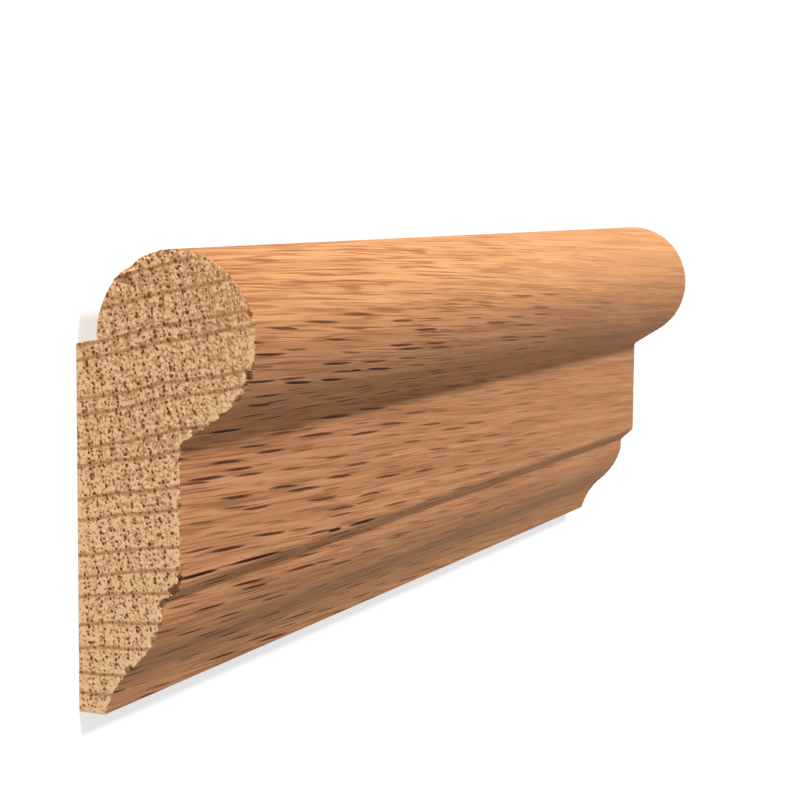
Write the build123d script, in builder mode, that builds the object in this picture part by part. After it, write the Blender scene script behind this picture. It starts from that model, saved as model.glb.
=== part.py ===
from build123d import *
import os
from math import cos, radians, sin, sqrt

# A picture rail moulding: one length of oak run through a moulder, so one section from end to end.
# It lies on its flat back. X runs along the rail, Y points towards the bead that picture hooks hang
# on, Z points out of the wall. The origin is under the middle of the rail, on the plane of its back.

# Driving dimensions, in millimetres and degrees
length = 139.7  # between the two sawn ends
back_height = 35.5  # flat back, from the lower edge to the shoulder
bead_diameter = 16.8  # round bead along the top
bead_rise = 0.55  # bead centre above the shoulder
hook_gap = 2.25  # clear gap between the bead and the wall
cove_radius = 0.9  # small hollow under the bead
band_depth = 11.1  # flat band, out from the back
band_foot_height = 13.0  # lower arris of the flat band
arris_radius = 0.6  # that arris is softly rounded
chamfer_height = 1.7  # slope under the band
step_depth = 9.2  # narrow flat above the ogee, out from the back
step_height = 1.4  # width of that flat
ogee_lean = 15.0  # slope of the ogee at both of its ends, away from upright
toe_depth = 2.9  # lower edge, out from the back

# Sizes that follow
bead_radius = bead_diameter / 2
bead_centre_height = back_height + bead_rise
bead_centre_depth = hook_gap + bead_radius
rail_height = bead_centre_height + bead_radius
rail_depth = hook_gap + bead_diameter
chamfer_foot_height = band_foot_height - chamfer_height
ogee_height = chamfer_foot_height - step_height

# Corners of the section, as height above the lower edge and depth from the back
shoulder_inner = (back_height, bead_centre_depth - sqrt(bead_radius**2 - bead_rise**2))
bead_nose = (bead_centre_height, rail_depth)
bead_half_width = sqrt(bead_radius**2 - (band_depth - bead_centre_depth) ** 2)
bead_foot = (bead_centre_height - bead_half_width, band_depth)
band_foot = (band_foot_height, band_depth)
chamfer_foot = (chamfer_foot_height, step_depth)
ogee_top = (ogee_height, step_depth)
ogee_middle = (ogee_height / 2, (step_depth + toe_depth) / 2)
ogee_toe = (0, toe_depth)
ogee_start = (-cos(radians(ogee_lean)), -sin(radians(ogee_lean)))

# The section stands on the near end, with height along Y and depth along Z
near_end = Plane(origin=(-length / 2, -rail_height / 2, 0), x_dir=(0, 1, 0), z_dir=(1, 0, 0))

with BuildPart() as picture_rail:
    with BuildSketch(near_end) as section:
        with BuildLine():
            Polyline(ogee_toe, (0, 0), (back_height, 0), shoulder_inner)
            ThreePointArc(shoulder_inner, bead_nose, bead_foot)
            Polyline(bead_foot, band_foot, chamfer_foot, ogee_top)
            # The ogee: a round above a hollow, two like arcs that flow into each other
            ogee_round = TangentArc(ogee_top, ogee_middle, tangent=ogee_start)
            TangentArc(ogee_middle, ogee_toe, tangent=ogee_round % 1)
        make_face()
        # The cutter's rounded corner, where the bead runs into the band
        bead_corner = section.vertices().sort_by_distance(bead_foot)[0]
        fillet(bead_corner, radius=cove_radius)
        # The lower arris of the band, softly rounded
        band_arris = section.vertices().sort_by_distance(band_foot)[0]
        fillet(band_arris, radius=arris_radius)
    extrude(amount=length)

picture_rail.part.label = "picture_rail"

os.makedirs("parts", exist_ok=True)
export_step(picture_rail.part, "parts/picture_rail.step")
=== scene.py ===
from functools import reduce
from math import asin, atan2, cos, hypot, pi, radians, sin, sqrt, tan

import bpy
import numpy as np
from mathutils import Matrix, Vector


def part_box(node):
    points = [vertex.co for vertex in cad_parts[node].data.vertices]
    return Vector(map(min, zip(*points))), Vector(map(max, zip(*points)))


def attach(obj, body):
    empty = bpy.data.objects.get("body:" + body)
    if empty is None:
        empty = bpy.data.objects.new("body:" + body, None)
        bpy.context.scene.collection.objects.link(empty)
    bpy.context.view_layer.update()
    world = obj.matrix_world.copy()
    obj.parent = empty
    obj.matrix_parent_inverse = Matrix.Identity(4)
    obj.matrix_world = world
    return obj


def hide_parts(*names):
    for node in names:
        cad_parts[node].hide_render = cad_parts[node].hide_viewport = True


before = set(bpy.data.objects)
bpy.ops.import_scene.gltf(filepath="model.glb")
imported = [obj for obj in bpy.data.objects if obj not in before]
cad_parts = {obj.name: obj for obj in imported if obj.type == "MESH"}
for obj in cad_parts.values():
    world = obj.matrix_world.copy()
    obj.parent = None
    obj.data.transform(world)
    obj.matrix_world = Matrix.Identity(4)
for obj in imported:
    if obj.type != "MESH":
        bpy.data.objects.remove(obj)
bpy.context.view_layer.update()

bl_info = {
    "name": "Picture Rail Moulding",
    "version": (1, 0, 0),
    "blender": (4, 5, 0),
    "location": "View3D > Sidebar > Picture Rail",
    "description": "A short length of bare red oak picture rail, with its stage",
    "category": "Add Mesh",
}

# The frame: X along the rail, Y towards the bead, Z away from the flat back, all in metres
RAIL_NODE = "picture_rail"
RAIL_LOW, RAIL_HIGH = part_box(RAIL_NODE)
RAIL_LENGTH, RAIL_HEIGHT, RAIL_DEPTH = (high - low for low, high in zip(RAIL_LOW, RAIL_HIGH))
MM = 0.001


def size(name, description, millimetres):
    """A length that a user may change, shown in the scene's unit."""
    return bpy.props.FloatProperty(
        name=name, description=description, default=millimetres * MM, unit="LENGTH", precision=5
    )


def tint(name, description, red, green, blue):
    """A colour that a user may change, as linear light."""
    return bpy.props.FloatVectorProperty(
        name=name, description=description, default=(red, green, blue), subtype="COLOR", min=0.0, max=1.0
    )


def turn(name, description, degrees):
    """An angle that a user may change."""
    return bpy.props.FloatProperty(
        name=name, description=description, default=radians(degrees), subtype="ANGLE"
    )


def plain(name, description, default):
    """A number without a unit that a user may change."""
    return bpy.props.FloatProperty(name=name, description=description, default=default)


def whole(name, description, default):
    """A whole number that a user may change."""
    return bpy.props.IntProperty(name=name, description=description, default=default)


class RailSection(bpy.types.PropertyGroup):
    """Sizes of the section. The overall height and depth come from the frame."""

    hook_gap: size("Hook gap", "Clear gap between the bead and the wall", 2.25)
    bead_rise: size("Bead rise", "Bead centre above the shoulder", 0.55)
    underside_slope: turn("Underside", "Slope of the bead's straight underside, away from level", 32.0)
    cove_radius: size("Cove", "Radius of the small hollow where the underside meets the band", 0.5)
    band_depth: size("Band depth", "Flat band, out from the back", 11.1)
    band_foot: size("Band foot", "Height of the band's lower arris", 13.0)
    arris_radius: size("Arris", "Radius of that arris", 0.6)
    chamfer_height: size("Chamfer", "Height of the slope under the band", 1.7)
    step_depth: size("Step depth", "Narrow flat above the ogee, out from the back", 9.2)
    step_height: size("Step height", "Width of that flat", 1.4)
    ogee_lean: turn("Ogee lean", "Slope of the ogee at both of its ends, away from upright", 15.0)
    toe_depth: size("Toe depth", "Lower edge, out from the back", 2.9)


class SawnEnds(bpy.types.PropertyGroup):
    """How rough the saw left the two ends."""

    fray: size("Fray", "How far the sawn edge wanders in and out", 0.10)
    nick: size("Nick", "Size of the small nicks along the sawn edge", 0.36)
    nick_count: whole("Nicks", "Small nicks on the near sawn edge", 36)
    far_share: plain("Far share", "Share of the fray and the nicks that the far edge has", 0.25)
    seed: whole("Seed", "Start of the random draws", 7)


class OakLook(bpy.types.PropertyGroup):
    """Colours and grain of the bare red oak."""

    planed_light: tint("Planed, light", "Light fibres on the planed faces", 0.645, 0.316, 0.150)
    planed_dark: tint("Planed, dark", "Dark fibres on the planed faces", 0.400, 0.174, 0.073)
    vessel: tint("Vessel", "Open vessels on the planed faces", 0.250, 0.088, 0.030)
    ray: tint("Ray", "Ends of the rays on the planed faces", 0.055, 0.015, 0.004)
    tear: tint("Tear", "Tears by the band's lower arris and under the bead", 0.020, 0.002, 0.002)
    sawn_light: tint("Sawn, light", "Light fibres on the sawn ends", 0.970, 0.622, 0.347)
    sawn_dark: tint("Sawn, dark", "Dark fibres on the sawn ends", 0.560, 0.270, 0.125)
    pore: tint("Pore", "Pores on the sawn ends", 0.235, 0.058, 0.022)
    sawn_ray: tint("Sawn ray", "Rays across the sawn ends", 0.480, 0.225, 0.100)
    # Painted shade: the dark colour laid in the hollows of the chips and nicks
    chip_shade_tint: tint("Torn", "Torn wood in the chips", 0.160, 0.048, 0.014)
    ring_width: size("Ring width", "Growth of one year", 1.30)
    grain_slope: plain("Grain slope", "Fall of the grain for each unit along the rail", 0.055)
    pith_behind: size("Pith behind", "Heart of the tree, behind the flat back", 215.0)
    pith_height: size("Pith height", "Heart of the tree, above the rail's middle", -36.0)


class StageLook(bpy.types.PropertyGroup):
    """Camera, lamps and floor."""

    eye: bpy.props.FloatVectorProperty(
        name="Eye",
        description="Place of the camera",
        default=(RAIL_LOW[0] - 158.87 * MM, RAIL_LOW[1] + 50.08 * MM, 103.97 * MM),
        unit="LENGTH",
        precision=5,
    )
    swing: turn("Swing", "Turn of the view away from the rail's length", 23.97)
    tilt: turn("Tilt", "Fall of the view towards the toe", 6.03)
    roll: turn("Roll", "Roll of the camera", 0.46)
    lens: plain("Lens", "Focal length in millimetres, on a sensor 36 mm wide", 90.0)
    sky: plain("Sky", "Level of the even light from all sides", 0.275)
    front: plain("Front", "Level of the soft lamp before the rail", 0.77)
    end: plain("End", "Level of the lamp before the near sawn end", 0.275)
    top: plain("Top", "Level of the warm lamp on the bead's side", 1.23)
    fill: plain("Fill", "Level of the wide lamp on the toe's side", 0.095)
    top_tint: tint("Top colour", "Colour of the lamp on the bead's side", 1.0, 0.96, 0.71)
    floor: tint("Floor", "Pale floor, as it lights the rail", 0.45, 0.45, 0.45)


def steps(length, spacing):
    """Shares from 0 to just before 1, one for each step of about the spacing along a length."""
    count = max(2, round(abs(length) / spacing))
    return np.arange(count) / count


def arc(centre, radius, start, end, spacing):
    """Points on a circle: the centre plus the radius times (cosine, sine) of an even row of angles."""
    angle = start + steps(radius * (end - start), spacing) * (end - start)
    return np.asarray(centre) + radius * np.stack([np.cos(angle), np.sin(angle)], axis=1)


def line(start, end, spacing):
    """Points on a straight line: the start plus an even row of shares of the way to the end."""
    start, end = np.asarray(start), np.asarray(end)
    return start + steps(np.linalg.norm(end - start), spacing)[:, None] * (end - start)


def eased(values, passes):
    """A closed row of values, each averaged with its neighbours by 1, 2, 1 a number of times."""
    for _ in range(passes):
        values = (np.roll(values, 1, axis=0) + 2 * values + np.roll(values, -1, axis=0)) / 4
    return values


def rail_outline(section, spacing):
    """The section's outline: a closed ring of (height, depth), up the front and down the back.

    The front is a hollow and a round of like radius that meet at a common slope, a step, a chamfer, a
    rounded arris, a flat band, a small cove, a straight underside that touches the bead, and the
    bead's circle, which goes on round to the shoulder. The back is straight. The ring is eased once,
    which takes a hair off the edges.
    """
    radius = (RAIL_DEPTH - section.hook_gap) / 2
    bead = np.array([RAIL_HEIGHT - radius, section.hook_gap + radius])
    shoulder = bead[0] - section.bead_rise
    chamfer_foot = section.band_foot - section.chamfer_height
    ogee_top = chamfer_foot - section.step_height
    # The ogee: its chord halves the turn between the two slopes
    lean = section.ogee_lean
    chord = atan2(section.step_depth - section.toe_depth, ogee_top)
    steep = 2 * chord - lean
    swing = hypot(ogee_top, section.step_depth - section.toe_depth) / 4 / sin((steep - lean) / 2)
    toward = np.array([-sin(lean), cos(lean)])
    hollow_centre = np.array([0.0, section.toe_depth]) + swing * toward
    round_centre = np.array([ogee_top, section.step_depth]) - swing * toward
    # The rounded arris touches the chamfer and the band
    arris = section.arris_radius
    chamfer_turn = atan2(section.chamfer_height, section.step_depth - section.band_depth)
    arris_end = section.band_foot + arris * tan((chamfer_turn - pi / 2) / 2)
    arris_centre = np.array([arris_end, section.band_depth - arris])
    arris_start = arris_centre + arris * np.array([cos(chamfer_turn), sin(chamfer_turn)])
    # The underside touches the bead where the circle has its slope, and the cove touches it and the band
    cove = section.cove_radius
    bead_end = pi - section.underside_slope
    downward = np.array([cos(bead_end), sin(bead_end)])
    cove_depth = section.band_depth + cove
    cove_drop = (radius + cove - downward[1] * (cove_depth - bead[1])) / downward[0]
    cove_centre = np.array([bead[0] + cove_drop, cove_depth])
    shoulder_turn = -pi / 2 - asin(section.bead_rise / radius)
    shoulder_end = bead + radius * np.array([cos(shoulder_turn), sin(shoulder_turn)])
    ring = np.concatenate(
        [
            arc(hollow_centre, swing, lean - pi / 2, steep - pi / 2, spacing),
            arc(round_centre, swing, steep + pi / 2, lean + pi / 2, spacing),
            line((ogee_top, section.step_depth), (chamfer_foot, section.step_depth), spacing),
            line((chamfer_foot, section.step_depth), arris_start, spacing),
            arc(arris_centre, arris, chamfer_turn, pi / 2, spacing),
            line((arris_end, section.band_depth), (cove_centre[0], section.band_depth), spacing),
            arc(cove_centre, cove, -pi / 2, bead_end - pi, spacing),
            line(cove_centre - cove * downward, bead + radius * downward, spacing),
            arc(bead, radius, bead_end, shoulder_turn, spacing),
            line(shoulder_end, (shoulder, 0.0), spacing),
            line((shoulder, 0.0), (0.0, 0.0), spacing),
            line((0.0, 0.0), (0.0, section.toe_depth), spacing),
        ]
    )
    return eased(ring, 1)


# Fineness of the mesh: step round the section, rows along the rail and how they crowd at its ends, insets
# of the rows on the sawn ends, passes that ease their direction, and the turn past which an edge is sharp
RING_STEP = 0.22 * MM
ROW_COUNT = 134
ROW_CROWDING = 2.05
SAWN_INSETS = np.array([0.12, 0.26, 0.42, 0.62, 0.90, 1.30]) * MM
INSET_EASING = 60
SHARP_TURN = radians(18)

# Wear of the sawn edges: the fray's waves to a millimetre and its reach along the rail, a bite's lumps as
# a share of its radius and how soon its painted shade is full, and how much painted shade the small nicks
# get
FRAY_WAVES = np.linspace(0.25, 1.9, 9)
FRAY_REACH = 0.6 * MM
BITE_LUMPS = 0.35
BITE_SHADE = 2.5
NICK_DARK = 0.6


def crowded_ends(count, pull):
    """A row of shares from 0 to 1 that lie close at both ends: a hyperbolic tangent of an even row."""
    return 0.5 + 0.5 * np.tanh(pull * np.linspace(-1.0, 1.0, count + 1)) / np.tanh(pull)


def ripple(place, waves, seed):
    """A smooth random line of about unit size: sines of given waves to a unit, with random phases."""
    draw = np.random.default_rng(seed)
    phase = draw.uniform(0, 2 * pi, len(waves))
    return np.sin(2 * pi * np.outer(place, waves) + phase).sum(axis=1) / sqrt(len(waves) / 2)


def scoop(points, chip_shade, centre, radius, dark, seed):
    """Pushes the points that lie inside a rough ball out to its skin, and notes the painted shade it
    leaves there.

    The ball's radius swells and shrinks with the direction, by the mean of three sines of it. The painted
    shade is full where a point was well inside, deep in the hollow, and thins towards the skin.
    """
    draw = np.random.default_rng(seed)
    arm = points - centre
    far = np.maximum(np.linalg.norm(arm, axis=1), 1e-9)
    lumps = np.sin(arm / far[:, None] @ draw.normal(0, 4, (3, 3)) + draw.uniform(0, 6, 3)).mean(axis=1)
    skin = radius * (1 + BITE_LUMPS * lumps)
    inside = far < skin
    moved = np.where(inside, skin / far, 1.0)
    shade = dark * np.minimum(BITE_SHADE * (skin - far) / radius, 1.0)
    chip_shade[:] = np.maximum(chip_shade, np.where(inside, shade, 0.0))
    return centre + arm * moved[:, None]


# Chips on the near sawn edge: height and depth in the section, bite radius, how far the ball's centre
# stands out of the wood, all in millimetres, and how much painted shade darkens the chip's hollow
NEAR_CHIPS = (
    (42.85, 5.72, 1.00, 0.22, 0.1),
    (40.9, 5.75, 1.15, 0.80, 0.1),
    (43.4, 6.9, 0.50, 0.20, 0.4),
    (43.8, 7.8, 0.50, 0.20, 0.5),
    (44.0, 8.7, 0.50, 0.20, 0.7),
    (44.2, 9.7, 0.50, 0.20, 0.7),
    (44.3, 10.7, 0.45, 0.20, 0.6),
    (44.2, 11.8, 0.50, 0.20, 0.6),
    (43.9, 12.9, 0.45, 0.20, 0.5),
    (39.6, 18.3, 0.55, 0.15, 1.0),
    (38.8, 18.6, 0.60, 0.15, 1.0),
    (33.2, 18.6, 0.95, 0.30, 1.0),
    (32.2, 18.1, 0.75, 0.25, 0.7),
    (30.7, 17.1, 0.75, 0.25, 0.8),
    (29.5, 15.8, 0.65, 0.25, 0.5),
    (28.6, 14.5, 0.60, 0.25, 0.5),
    (27.8, 12.8, 0.60, 0.20, 0.6),
    (20.7, 11.2, 0.55, 0.15, 1.0),
    (19.7, 11.2, 0.45, 0.15, 1.0),
    (13.7, 11.2, 0.85, 0.25, 1.0),
    (12.7, 10.3, 0.70, 0.20, 1.0),
    (11.3, 9.2, 0.60, 0.20, 1.0),
    (10.6, 9.2, 0.50, 0.15, 0.8),
    (9.0, 8.9, 0.60, 0.20, 0.9),
    (8.0, 8.3, 0.80, 0.30, 0.6),
    (4.6, 5.4, 0.60, 0.25, 0.6),
    (0.0, 0.0, 0.30, 0.15, 1.0),
)


def rail_mesh(section, ends):
    """The rail as the outline carried along X and drawn in at both sawn ends, with their edges worn.

    Each row is the ring of the outline, (height, depth), at one place along X. On the sawn ends the
    rows go on inwards: the ring less an inset times its eased outward direction. One flat face shuts
    each end. Sawn edges are frayed by a random ripple and chipped by rough balls, which leave painted
    shade in their hollows.
    """
    ring = rail_outline(section, RING_STEP)
    count = len(ring)
    ahead = np.roll(ring, -1, axis=0) - np.roll(ring, 1, axis=0)
    ahead /= np.linalg.norm(ahead, axis=1)[:, None]
    outward = np.stack([-ahead[:, 1], ahead[:, 0]], axis=1)
    strides = np.linalg.norm(np.roll(ring, -1, axis=0) - ring, axis=1)
    walk = np.concatenate([[0.0], np.cumsum(strides)])

    # Rows: place along X, inset on the sawn ends, distance from the sawn edge
    along = RAIL_LOW[0] + RAIL_LENGTH * crowded_ends(ROW_COUNT, ROW_CROWDING)
    x = np.pad(along, len(SAWN_INSETS), mode="edge")
    inset = np.concatenate([SAWN_INSETS[::-1], np.zeros(len(along)), SAWN_INSETS])
    from_saw = np.minimum(x - along[0], along[-1] - x) - inset

    # The ring at each row, frayed near the saw, but not on the back
    near_fray, far_fray = (ripple(walk[:-1] / MM, FRAY_WAVES, ends.seed + end) for end in range(2))
    fray = np.where((x < 0)[:, None], near_fray, far_fray)
    fray = ends.fray * (0.4 + 0.4 * fray) * np.exp(-((from_saw[:, None] / FRAY_REACH) ** 2))
    fray *= np.clip(outward[:, 1] + 1, 0, 1) * np.where(x < 0, 1.0, ends.far_share)[:, None]
    rings = ring - inset[:, None, None] * eased(outward, INSET_EASING) - fray[..., None] * outward
    places = np.broadcast_to(x[:, None, None], (len(x), count, 1))
    points = np.concatenate([places, rings], axis=2).reshape(-1, 3)

    # Faces, and the map of the rail unrolled
    number = np.arange(len(points)).reshape(len(x), count)
    following = np.roll(number, -1, axis=1)
    quads = np.stack([number[:-1], number[1:], following[1:], following[:-1]], axis=-1).reshape(-1, 4)
    faces = quads.tolist() + [number[0].tolist(), number[-1, ::-1].tolist()]
    unrolled = np.stack(np.meshgrid(x + np.sign(x) * inset, walk, indexing="ij"), axis=-1)
    corners = [unrolled[:-1, :-1], unrolled[1:, :-1], unrolled[1:, 1:], unrolled[:-1, 1:]]
    grain = np.concatenate([np.stack(corners, axis=2).reshape(-1, 2), np.zeros((2 * count, 2))])
    arris = np.argmin(np.linalg.norm(ring - (section.band_foot, section.band_depth), axis=1))
    # Painted shade that the chips and nicks leave in their hollows, from 0 to 1
    chip_shade = np.zeros(len(points))

    # Damage: chips that show, then small nicks at random along the front of both sawn edges, each with
    # painted shade in its hollow
    for order, (height, depth, radius, proud, dark) in enumerate(NEAR_CHIPS):
        spot = np.array([height, depth]) * MM
        nearest = np.argmin(np.linalg.norm(ring - spot, axis=1))
        spot = spot + proud * MM * outward[nearest]
        centre = np.array([along[0] - proud * MM, *spot])
        points = scoop(points, chip_shade, centre, radius * MM, dark, ends.seed + order)
    front_count = np.argmax(ring[:, 0])
    draw = np.random.default_rng(ends.seed)
    for place, away, share in ((along[0], -1, 1.0), (along[-1], 1, ends.far_share)):
        for _ in range(round(ends.nick_count * share)):
            spot = draw.integers(front_count)
            radius = ends.nick * draw.uniform(0.4, 1.1)
            proud = radius * draw.uniform(0.55, 0.9)
            lift = 0.7 * proud
            centre = np.array([place + away * lift, *(ring[spot] + lift * outward[spot])])
            points = scoop(points, chip_shade, centre, radius, NICK_DARK, int(draw.integers(1 << 30)))

    points[:, 1] += RAIL_LOW[1]
    points[:, 2] += RAIL_LOW[2]
    points = np.clip(points, RAIL_LOW, RAIL_HIGH)
    mesh = bpy.data.meshes.new("oak_rail")
    mesh.from_pydata(points, [], faces)
    for name, values in (
        ("from_saw", np.repeat(from_saw / MM, count)),
        ("from_arris", np.tile((walk[:-1] - walk[arris]) / MM, len(x))),
        ("upward", np.tile(outward[:, 0], len(x))),
        ("chip_shade", chip_shade),
    ):
        layer = mesh.attributes.new(name, "FLOAT", "POINT")
        layer.data.foreach_set("value", values.astype(np.float32))
    layer = mesh.uv_layers.new(name="grain")
    layer.data.foreach_set("uv", (grain / MM).astype(np.float32).ravel())
    mesh.shade_smooth()
    mesh.set_sharp_from_angle(angle=SHARP_TURN)
    return mesh


class Wire:
    """A shader socket. Python's operators on it add Math nodes, and node() adds any other node."""

    def __init__(self, tree, socket=None):
        self.tree = tree
        self.socket = socket

    def node(self, kind, settings=None, inputs=None, out=0):
        """Adds a node: its settings first, then its sockets' values or links. Returns one output."""
        made = self.tree.nodes.new(kind)
        for name, value in (settings or {}).items():
            setattr(made, name, value)
        for name, value in (inputs or {}).items():
            if isinstance(value, Wire):
                self.tree.links.new(value.socket, made.inputs[name])
            else:
                made.inputs[name].default_value = value
        return Wire(self.tree, made.outputs[out] if made.outputs else None)

    def other(self, out):
        """Another output of the node that this socket belongs to."""
        return Wire(self.tree, self.socket.node.outputs[out])

    def math(self, operation, *values):
        """A Math node on values and sockets."""
        return self.node("ShaderNodeMath", {"operation": operation}, dict(enumerate(values)))

    def __add__(self, value):
        return self.math("ADD", self, value)

    def __sub__(self, value):
        return self.math("SUBTRACT", self, value)

    def __rsub__(self, value):
        return self.math("SUBTRACT", value, self)

    def __mul__(self, value):
        return self.math("MULTIPLY", self, value)

    def __truediv__(self, value):
        return self.math("DIVIDE", self, value)

    def __pow__(self, value):
        return self.math("POWER", self, value)

    def __abs__(self):
        return self.math("ABSOLUTE", self)

    __radd__ = __add__
    __rmul__ = __mul__

    def most(self, value):
        """The larger of this and another value."""
        return self.math("MAXIMUM", self, value)

    def span(self, value):
        """Length of the slant over this and another value at right angles."""
        return (self * self + value * value) ** 0.5

    def ramp(self, low, high, first=0.0, last=1.0):
        """A smooth step from first to last while this value goes from low to high."""
        return self.node(
            "ShaderNodeMapRange",
            {"interpolation_type": "SMOOTHSTEP"},
            {"Value": self, "From Min": low, "From Max": high, "To Min": first, "To Max": last},
        )

    def mix(self, first, second):
        """A colour between two, by this value."""
        first, second = (
            value if isinstance(value, Wire) else (*value, 1.0) for value in (first, second)
        )
        return self.node("ShaderNodeMix", {"data_type": "RGBA"}, {0: self, 6: first, 7: second}, 2)

    def xyz(self):
        """The three parts of a vector."""
        first = self.node("ShaderNodeSeparateXYZ", None, {0: self}, "X")
        return first, first.other("Y"), first.other("Z")

    def rgb(self):
        """The three parts of a colour."""
        first = self.node("ShaderNodeSeparateColor", None, {0: self}, "Red")
        return first, first.other("Green"), first.other("Blue")

    def plane(self, across):
        """A vector of this value and another, with a third part of zero."""
        return self.node("ShaderNodeCombineXYZ", None, {"X": self, "Y": across})

    def scaled(self, by_x, by_y, by_z):
        """A vector with each part multiplied by its own number."""
        factors = (by_x, by_y, by_z)
        return self.node("ShaderNodeVectorMath", {"operation": "MULTIPLY"}, {0: self, 1: factors})

    def lumps(self, long, wide, deep=1.0, detail=2.0, out="Fac"):
        """Smooth noise over a vector: the vector divided by the lumps' sizes, one lump to a unit."""
        return self.node(
            "ShaderNodeTexNoise",
            {"noise_dimensions": "3D"},
            {
                "Vector": self.scaled(1 / long, 1 / wide, 1 / deep),
                "Scale": 1.0,
                "Detail": detail,
                "Roughness": 0.55,
            },
            out,
        )

    def cells(self, across, scatter):
        """Scattered points, one to a unit square of this and another value.

        Returns how far away the nearest point is along both, and a number from 0 to 1 that it draws.
        """
        flat = self.plane(across)
        point = self.node(
            "ShaderNodeTexVoronoi",
            {"voronoi_dimensions": "2D", "feature": "F1"},
            {"Vector": flat, "Scale": 1.0, "Randomness": scatter},
            "Position",
        )
        away = self.node("ShaderNodeVectorMath", {"operation": "SUBTRACT"}, {0: flat, 1: point})
        return *away.xyz()[:2], point.other("Color").rgb()[0]

    def seams(self, across):
        """Distance to the nearest border between scattered cells, one to a unit square of two values."""
        return self.node(
            "ShaderNodeTexVoronoi",
            {"voronoi_dimensions": "2D", "feature": "DISTANCE_TO_EDGE"},
            {"Vector": self.plane(across), "Scale": 1.0, "Randomness": 0.9},
            "Distance",
        )

    def from_marks(self, scatter):
        """Distance to the nearest of a row of scattered marks, one to a unit of this value."""
        return self.node(
            "ShaderNodeTexVoronoi",
            {"voronoi_dimensions": "1D", "feature": "F1"},
            {"W": self, "Scale": 1.0, "Randomness": scatter},
            "Distance",
        )


def blank(owner):
    """The emptied node tree of a material or a world, ready to wire."""
    owner.use_nodes = True
    owner.node_tree.nodes.clear()
    return Wire(owner.node_tree)


def dash(along, across, half_length, half_width, blunt=2.0):
    """A soft dash: 1 where |along / half length| ** blunt + (across / half width) ** 2 is small."""
    along = along / half_length
    across = across / half_width
    return (abs(along) ** blunt + across * across).ramp(0.15, 1.15, 1.0, 0.0)


# Tears by the band's lower arris and under the bead, in millimetres: where each begins, along from the
# near end and up from the arris, where it ends, along and up, and half its width
TEARS = (
    (-0.6, 0.78, 7.6, 0.52, 0.20),
    (9.6, 0.54, 21.0, 0.07, 0.20),
    (31.3, 0.45, 34.8, 0.35, 0.20),
    (36.3, 0.30, 43.8, 0.02, 0.20),
    (2.9, 14.9, 11.4, 13.9, 0.38),
    (3.1, 19.8, 8.8, 19.2, 0.20),
    (7.8, 22.1, 14.4, 21.5, 0.20),
    (16.0, 21.6, 21.5, 21.1, 0.20),
    (22.5, 22.1, 25.2, 21.9, 0.15),
    (26.5, 21.9, 33.4, 21.3, 0.18),
)


def planed_oak(look, unrolled, upward, from_arris):
    """Colour and relief, in millimetres, of the planed faces, and their fine fibre.

    They read a map of the rail unrolled, length by girth in millimetres. The grain runs at a small
    slope to the rail and wanders a little. Ends of rays and vessels are dashes about scattered points,
    one to a run along the grain and a gap across it. They fade towards the far end. A few tears lie by
    the band's lower arris and under the bead.
    """
    ray_run, ray_gap = 11.0, 1.15
    vessel_run, vessel_gap = 15.0, 0.55
    length, girth, _ = unrolled.xyz()
    level = girth + length * look.grain_slope
    flow = length.plane(level)
    near = length.ramp(-60.0, 60.0, 1.0, 0.16)
    # Fine marks fade towards the far end; on faces that look down they are thinned, painted light that
    # lifts those shaded faces
    fine = near * upward.ramp(-0.6, -0.2, 0.45, 1.0)
    on_top = upward.ramp(0.25, 0.8)
    sway = flow.lumps(34, 7, detail=1.0) - 0.5
    quiver = flow.lumps(6, 1.6, detail=1.0) - 0.5
    course = level + sway * 0.9 + quiver * 0.25

    # Ends of rays
    spot = length / ray_run + course * 0.33 + 0.45
    along, across, luck = spot.cells(course / ray_gap, 0.9)
    ray = dash(along * ray_run, across * ray_gap, 2.2 + 2.4 * luck, 0.12 + 0.07 * luck)
    ray = ray * luck.ramp(0.10, 0.70, 0.45, 1.0) * near * upward.ramp(0.05, 0.35, 1.0, 0.15)

    # Vessels, and hairs where a slow noise crosses its middle
    spot = length / vessel_run + course * 0.73
    along, across, luck = spot.cells(course / vessel_gap + 2.1, 0.9)
    vessel = dash(along * vessel_run, across * vessel_gap, 2.5 + 4.5 * luck, 0.06 + 0.06 * luck)
    vessel = vessel * fine * (0.30 + (0.40 + 0.30 * on_top) * luck)
    braid = flow.lumps(24, 0.7, detail=1.0) - 0.5
    braid_luck = flow.lumps(11, 1.6, detail=1.0).ramp(0.36, 0.56)
    hair = abs(braid).ramp(0.02, 0.075, 1.0, 0.0) * braid_luck * fine

    # Tears, drawn a little long because their ends are soft
    tears = []
    for begin, rise, end, fall, half_width in TEARS:
        along = length - ((begin + end) / 2 - RAIL_LENGTH / 2 / MM)
        across = from_arris - ((rise + fall) / 2 + along * ((fall - rise) / (end - begin)))
        tears.append(dash(along, across, (end - begin) / 1.9, half_width, 3.0))
    tear = reduce(Wire.most, tears)

    # Colour of the fibres, darker on top by the near end, with the marks laid over it
    fibre = flow.lumps(9, 0.16)
    streak = flow.lumps(34, 0.9)
    # Darker fibres on top by the near end
    near_top_darkening = length.ramp(-70.0, -35.0, 0.12, 0.0)
    tone = (fibre * 0.45 + streak * 0.65 - 0.05 + near_top_darkening * on_top).ramp(0.25, 0.75)
    colour = tone.mix(look.planed_light, look.planed_dark)
    colour = (hair * (0.50 + 0.35 * on_top)).mix(colour, look.vessel)
    colour = vessel.mix(colour, look.vessel)
    colour = (ray * 0.95).mix(colour, look.ray)
    colour = tear.mix(colour, look.tear)
    relief = fibre * 0.005 + streak * 0.015 - hair * 0.03 - vessel * 0.04 - (ray + tear) * 0.07
    return colour, relief, fibre


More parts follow.
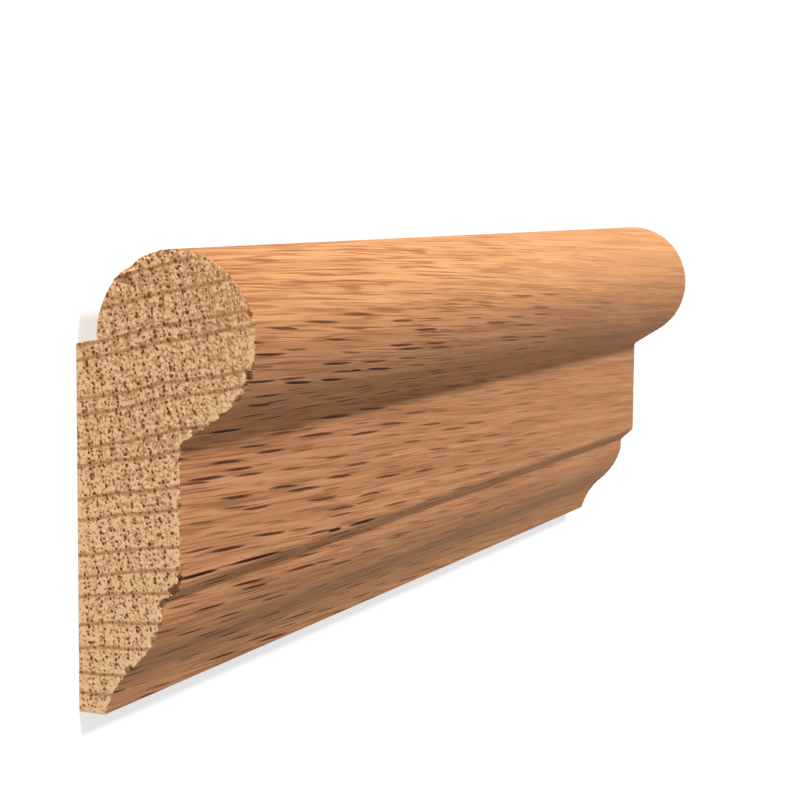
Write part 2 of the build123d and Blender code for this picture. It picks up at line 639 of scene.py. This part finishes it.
def sawn_oak(look, place, from_saw, upward):
    """Colour and relief, in millimetres, of the sawn ends, and their fine crumb.

    They read the place in the section. Rings lie about a far pith behind the back, and rays run out
    from it. Pores are scattered points, larger in the early wood of each ring and fainter in the
    bead's nose. The wood between them is a skin of pale cells with darker seams, and painted shade
    makes it a little darker towards the bead. A pale border runs along the lower part of the front edge.
    """
    pore_gap = 0.51
    pore_rows_a_year = 2.5
    cell_deep, cell_wide = 0.46, 0.50
    ray_gap = 2.4

    # Distance from the pith and way round it, both a little astray, and the season of growth
    _, height, depth = place.xyz()
    pith = look.pith_behind / MM
    up = height - look.pith_height / MM
    out = depth + pith
    drift, drift_aside, _ = place.lumps(26, 8, 8, 1.0, "Color").rgb()
    shiver, shiver_aside, _ = place.lumps(0.45, 0.45, 0.45, 1.0, "Color").rgb()
    turned = up.math("ARCTAN2", up, out) * pith + (drift_aside - 0.5) * 0.9
    rough_turned = turned + (shiver_aside - 0.5) * 0.4
    rough_ring = up.span(out) + (drift - 0.5) * 1.2 + (shiver - 0.5) * 0.4
    year = rough_ring / (look.ring_width / MM)
    season = year.math("FRACT", year + 0.15)
    early = season.ramp(0.0, 0.12) * season.ramp(0.45, 0.65, 1.0, 0.0)

    # Pores, rays and the ends of the years
    crumb = place.lumps(0.3, 0.3, 0.3)
    blotch = place.lumps(0.75, 0.75, 0.75, 1.0)
    cloud = place.lumps(9, 9, 9)
    border = from_saw.ramp(-1.1, -0.2) * upward.ramp(-0.2, 0.5, 1.0, 0.0) * crumb.ramp(0.25, 0.6)
    inner = depth.ramp(11.0, 17.0, 1.0, 0.55)
    pore_out, pore_aside, luck = (year * pore_rows_a_year).cells(rough_turned / pore_gap, 0.8)
    pore_wide = (0.13 + 0.08 * early) * (0.75 + 0.6 * luck)
    pore = (pore_out.span(pore_aside) - pore_wide).ramp(-0.10, 0.18, 1.0, 0.0)
    pore = pore * (0.50 + 0.38 * early + 0.27 * luck) * inner * (1 - 0.6 * border)
    ray = (turned / ray_gap).from_marks(0.55).ramp(0.02, 0.115, 1.0, 0.0)
    ray = ray * crumb.ramp(0.25, 0.6, 0.6, 1.0)
    year_end = season.ramp(0.88, 1.0) * blotch.ramp(0.42, 0.58)

    # Colour of the cells, with the marks laid over it
    seam = (rough_ring / cell_deep + 3.7).seams(rough_turned / cell_wide).ramp(0.0, 0.30, 1.0, 0.0)
    tone = seam * crumb.ramp(0.30, 0.65, 0.15, 1.0) * 0.58 + blotch.ramp(0.35, 0.65) * 0.35
    tone = tone + 0.12 * early + cloud * 0.35 - 0.21 - 0.35 * border
    # Painted shade: the sawn end darker towards the bead and lighter towards the toe
    tone = tone + height.ramp(-20.0, 20.0, -0.11, 0.10)
    colour = tone.ramp(0.10, 0.85).mix(look.sawn_light, look.sawn_dark)
    colour = (ray * 0.92).most(year_end * 0.40).mix(colour, look.sawn_ray)
    colour = pore.mix(colour, look.pore)
    relief = crumb * 0.03 - pore * 0.07 - ray * 0.01
    return colour, relief, crumb


def oak_material(look):
    """Bare red oak: planed faces and sawn ends, with a ragged border between them, and painted shade in
    the chips.
    """
    material = bpy.data.materials.new("red_oak")
    start = blank(material)
    place = start.node("ShaderNodeTexCoord", out="Object").scaled(1 / MM, 1 / MM, 1 / MM)
    unrolled = start.node("ShaderNodeUVMap", {"uv_map": "grain"})
    from_saw, from_arris, upward, chip_shade = (
        start.node("ShaderNodeAttribute", {"attribute_name": name}, None, "Fac")
        for name in ("from_saw", "from_arris", "upward", "chip_shade")
    )
    planed, planed_relief, fibre = planed_oak(look, unrolled, upward, from_arris)
    sawn, sawn_relief, crumb = sawn_oak(look, place, from_saw, upward)
    is_sawn = (from_saw + (crumb - 0.5) * 0.5).ramp(-0.04, 0.10, 1.0, 0.0)
    # Painted shade in the hollows of the chips and nicks, darkest well inside them
    colour = (chip_shade * 0.85).mix(is_sawn.mix(planed, sawn), look.chip_shade_tint)
    relief = is_sawn * sawn_relief + (1 - is_sawn) * planed_relief
    bump = start.node("ShaderNodeBump", None, {"Strength": 1.0, "Distance": MM, "Height": relief})
    shader = start.node(
        "ShaderNodeBsdfPrincipled",
        None,
        {
            "Base Color": colour,
            "Roughness": 0.62 + 0.14 * fibre + 0.2 * is_sawn,
            "Normal": bump,
            "IOR": 1.45,
            "Specular IOR Level": 0.1,
        },
    )
    start.node("ShaderNodeOutputMaterial", None, {"Surface": shader})
    return material


class RAIL_OT_moulding(bpy.types.Operator):
    """Builds the length of oak rail over its solid"""

    bl_idname = "rail.moulding"
    bl_label = "Oak rail"

    def execute(self, context):
        scene = context.scene
        mesh = rail_mesh(scene.rail_section, scene.rail_ends)
        mesh.materials.append(oak_material(scene.rail_oak))
        piece = bpy.data.objects.new("oak_rail", mesh)
        scene.collection.objects.link(piece)
        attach(piece, "root")
        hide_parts(RAIL_NODE)
        return {"FINISHED"}


# The stage: half the floor's width, how far it lies below the back, what the camera sees on top of its
# lit grey, and the width of the camera's sensor in millimetres
WHITE = (1.0, 1.0, 1.0)
FLOOR_HALF = 4.0
FLOOR_DROP = 0.05 * MM
FLOOR_GLOW = (0.62, 0.62, 0.62)
SENSOR_WIDTH = 36.0


def to_camera(start):
    """1 on rays that the camera sees, straight, mirrored or through glass, and 0 on other light."""
    straight = start.node("ShaderNodeLightPath", out="Is Camera Ray")
    return straight.most(straight.other("Is Glossy Ray")).most(straight.other("Is Transmission Ray"))


def floor_material(look):
    """A matt floor that lights the rail as a grey and shows to the camera as white where it is lit."""
    material = bpy.data.materials.new("pale_floor")
    start = blank(material)
    shown = to_camera(start).mix((0.0, 0.0, 0.0), FLOOR_GLOW)
    matt = start.node("ShaderNodeBsdfDiffuse", None, {"Color": (*look.floor, 1.0)})
    glow = start.node("ShaderNodeEmission", None, {"Color": shown})
    both = start.node("ShaderNodeAddShader", None, {0: matt, 1: glow})
    start.node("ShaderNodeOutputMaterial", None, {"Surface": both})
    return material


def studio_world(look):
    """Even light from all sides, which shows to the camera as white."""
    world = bpy.data.worlds.new("studio")
    start = blank(world)
    lighting, white = (
        start.node("ShaderNodeBackground", None, {"Color": (*WHITE, 1.0), "Strength": strength})
        for strength in (look.sky, 1.0)
    )
    sky = start.node("ShaderNodeMixShader", None, {0: to_camera(start), 1: lighting, 2: white})
    start.node("ShaderNodeOutputWorld", None, {"Surface": sky})
    return world


def lamp(name, toward, away, width, level, colour=WHITE):
    """A square soft lamp that shines on the origin from a direction, with a level at the rail.

    A small lamp of power P lights a face that looks at it with P / (pi * distance ** 2), and a white
    face so lit shows 1 / pi of that, so the power is the level times (pi * distance) ** 2.
    """
    data = bpy.data.lights.new(name, "AREA")
    data.shape = "SQUARE"
    data.size = width
    data.energy = level * pi * pi * away**2
    data.color = colour
    piece = bpy.data.objects.new(name, data)
    aim = Vector(toward).normalized()
    piece.location = aim * away
    piece.rotation_euler = aim.to_track_quat("Z", "Y").to_euler()
    bpy.context.scene.collection.objects.link(piece)


def rail_camera(look):
    """A camera that looks along the rail, swung towards its back, tilted to the toe, then rolled."""
    right = Vector((sin(look.swing), 0.0, cos(look.swing)))
    level_ahead = Vector((cos(look.swing), 0.0, -sin(look.swing)))
    upright = Vector((0.0, 1.0, 0.0))
    ahead = level_ahead * cos(look.tilt) - upright * sin(look.tilt)
    over = upright * cos(look.tilt) + level_ahead * sin(look.tilt)
    rolled_right = right * cos(look.roll) + over * sin(look.roll)
    rolled_over = over * cos(look.roll) - right * sin(look.roll)
    data = bpy.data.cameras.new("camera")
    data.lens = look.lens
    data.sensor_width = SENSOR_WIDTH
    data.clip_start = 1 * MM
    camera = bpy.data.objects.new("camera", data)
    turned = Matrix((rolled_right, rolled_over, -ahead)).transposed().to_4x4()
    camera.matrix_world = Matrix.Translation(look.eye) @ turned
    return camera


class RAIL_OT_stage(bpy.types.Operator):
    """Sets the floor, the lamps and the camera"""

    bl_idname = "rail.stage"
    bl_label = "Stage"

    def execute(self, context):
        scene = context.scene
        look = scene.rail_stage
        scene.view_settings.view_transform = "Standard"
        scene.world = studio_world(look)

        # Floor
        corners = np.array([[-1, -1, 0], [1, -1, 0], [1, 1, 0], [-1, 1, 0]]) * FLOOR_HALF
        mesh = bpy.data.meshes.new("floor")
        mesh.from_pydata(corners, [], [(0, 1, 2, 3)])
        mesh.materials.append(floor_material(look))
        floor = bpy.data.objects.new("floor", mesh)
        floor.location.z = -FLOOR_DROP
        scene.collection.objects.link(floor)

        # Lamps
        lamp("front", toward=(-0.15, 0.62, 0.72), away=1.5, width=0.18, level=look.front)
        lamp("end", toward=(-1.0, 0.30, 0.15), away=1.5, width=0.6, level=look.end)
        lamp("top", toward=(-0.10, 1.0, 0.08), away=1.2, width=0.5, level=look.top, colour=look.top_tint)
        lamp("fill", toward=(-0.30, -0.20, 0.93), away=1.5, width=1.0, level=look.fill)

        # Camera
        camera = rail_camera(look)
        scene.collection.objects.link(camera)
        scene.camera = camera
        return {"FINISHED"}


class RAIL_PT_panel(bpy.types.Panel):
    """Lists the sizes and the steps"""

    bl_label = "Picture Rail"
    bl_idname = "RAIL_PT_panel"
    bl_space_type = "VIEW_3D"
    bl_region_type = "UI"
    bl_category = "Picture Rail"

    def draw(self, context):
        layout = self.layout
        for name, group in GROUPS.items():
            box = layout.box()
            for value in group.__annotations__:
                box.prop(getattr(context.scene, name), value)
        for step in STEPS:
            layout.operator(step.bl_idname)


GROUPS = {
    "rail_section": RailSection,
    "rail_ends": SawnEnds,
    "rail_oak": OakLook,
    "rail_stage": StageLook,
}
STEPS = (RAIL_OT_moulding, RAIL_OT_stage)


def register():
    for name, group in GROUPS.items():
        bpy.utils.register_class(group)
        setattr(bpy.types.Scene, name, bpy.props.PointerProperty(type=group))
    for made in (*STEPS, RAIL_PT_panel):
        bpy.utils.register_class(made)


def unregister():
    for made in (RAIL_PT_panel, *reversed(STEPS)):
        bpy.utils.unregister_class(made)
    for name, group in GROUPS.items():
        delattr(bpy.types.Scene, name)
        bpy.utils.unregister_class(group)


def main():
    register()
    bpy.ops.rail.moulding()
    bpy.ops.rail.stage()


if __name__ == "__main__":
    main()
